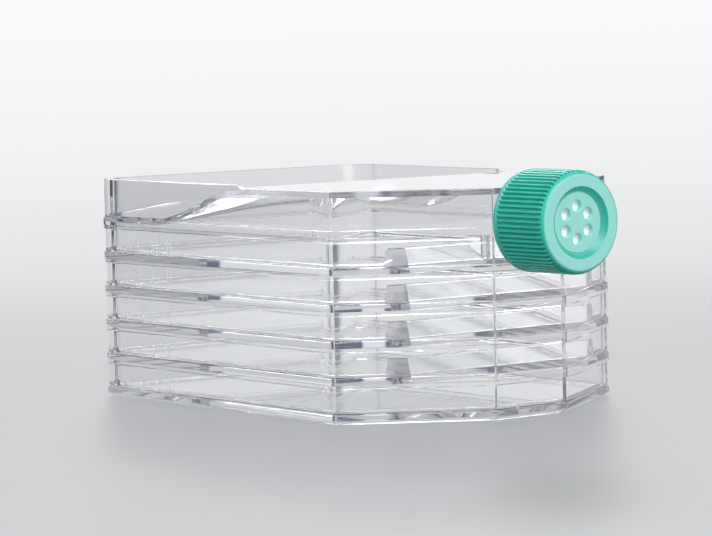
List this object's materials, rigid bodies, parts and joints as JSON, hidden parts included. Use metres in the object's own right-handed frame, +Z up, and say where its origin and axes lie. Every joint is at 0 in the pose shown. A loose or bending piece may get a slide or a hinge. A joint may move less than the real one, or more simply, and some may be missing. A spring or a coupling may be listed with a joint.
{
  "type": "cell culture flask",
  "caption": "Clear stackable cell culture flask with layered growth trays, a shared fill channel and a vented screw cap on a threaded neck.",
  "frame": {"origin": "under the middle of the bounding box, on the surface the flask stands on", "axes": "+X along the flask towards the cap, +Y across it, +Z up through the layers"},
  "size_m": [0.2028, 0.127, 0.0861],
  "materials": {
    "clear_polystyrene": "clear polished",
    "teal_plastic": "satin",
    "seal_plastic": "matte",
    "membrane_white": "matte"
  },
  "bodies": {
    "flask": {"base_tray": "clear_polystyrene", "tray_1": "clear_polystyrene", "tray_2": "clear_polystyrene", "tray_3": "clear_polystyrene", "tray_4": "clear_polystyrene", "lid": "clear_polystyrene", "neck": "clear_polystyrene"},
    "vent_insert": {"seal_ring": "seal_plastic", "vent_membrane": "membrane_white"},
    "cap": {"cap": "teal_plastic"}
  },
  "joints": [
    {"name": "cap_lift", "type": "slide", "parent": "flask", "child": "vent_insert", "axis": [1, 0, 0], "range_m": [0, 0.008]},
    {"name": "cap_turn", "type": "hinge", "parent": "vent_insert", "child": "cap", "pos_m": [0.0759, 0, 0.0682], "axis": [1, 0, 0], "range_deg": [0, 720]}
  ],
  "couplings": [
    {"joint": "cap_lift", "follows": "cap_turn", "m_per_rad": 0.00063662}
  ]
}
